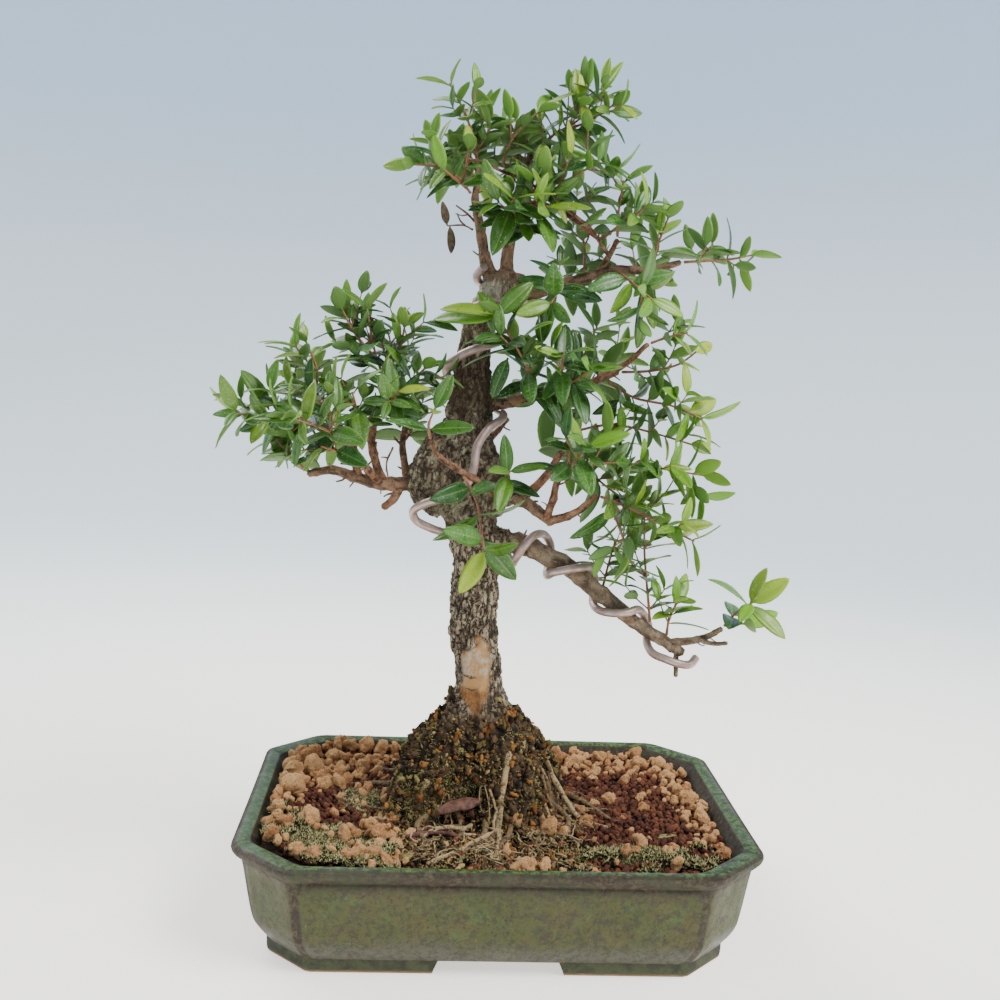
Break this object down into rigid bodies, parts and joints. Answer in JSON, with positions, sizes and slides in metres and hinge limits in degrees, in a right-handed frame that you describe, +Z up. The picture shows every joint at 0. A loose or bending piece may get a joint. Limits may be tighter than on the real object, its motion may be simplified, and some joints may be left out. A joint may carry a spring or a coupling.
{
  "type": "potted bonsai tree",
  "caption": "Small informal upright broadleaf bonsai with a wired low branch, standing in an oblong glazed pot with cut corners.",
  "frame": {"origin": "on the surface that the pot stands on, under the middle of the pot", "axes": "+Z up the tree, +X to the right along the pot's long side seen from the front, +Y to the back"},
  "size_m": [0.217, 0.1436, 0.3221],
  "materials": {
    "green_glaze": "satin",
    "soil_mix": "matte",
    "moss": "matte",
    "bark": "matte",
    "wire_aluminium": "satin",
    "mesh_plastic": "matte",
    "foliage": "satin"
  },
  "bodies": {
    "root": {"pot": "green_glaze", "drain_mesh_left": "mesh_plastic", "drain_mesh_right": "mesh_plastic", "soil": "soil_mix", "moss_front_left": "moss", "moss_front_right": "moss", "moss_root_side": "moss", "trunk": "bark", "training_wire": "wire_aluminium", "spray_far_left": "foliage", "spray_left_top": "foliage", "spray_left_top_back": "foliage", "spray_left_upper": "foliage", "spray_left_front": "foliage", "spray_left_low": "foliage", "spray_left_hang": "foliage", "spray_left_back": "foliage", "spray_left_back_in": "foliage", "spray_left_inner": "foliage", "spray_left_middle": "foliage", "spray_left_low_back": "foliage", "spray_apex_left": "foliage", "spray_apex_left_back": "foliage", "spray_apex_top_left": "foliage", "spray_apex_top": "foliage", "spray_apex_top_back": "foliage", "spray_apex_top_right": "foliage", "spray_apex_right": "foliage", "spray_apex_right_low": "foliage", "spray_apex_cross_tip": "foliage", "spray_apex_front": "foliage", "spray_apex_front_low": "foliage", "spray_upper_up": "foliage", "spray_upper_up_back": "foliage", "spray_upper_middle": "foliage", "spray_upper_tip": "foliage", "spray_upper_front": "foliage", "spray_upper_front_in": "foliage", "spray_upper_back": "foliage", "spray_upper_back_out": "foliage", "spray_middle_up": "foliage", "spray_middle_out": "foliage", "spray_middle_top": "foliage", "spray_middle_front": "foliage", "spray_middle_back": "foliage", "spray_middle_back_low": "foliage", "spray_middle_low": "foliage", "spray_lower_up": "foliage", "spray_lower_out": "foliage", "spray_lower_front": "foliage", "spray_lower_low": "foliage", "spray_lower_back": "foliage", "spray_branch_up": "foliage", "spray_branch_up_in": "foliage", "spray_branch_middle": "foliage", "spray_branch_tip": "foliage", "spray_front_star": "foliage", "spray_front_middle": "foliage", "spray_front_left": "foliage", "spray_trunk_front": "foliage"}
  },
  "joints": []
}
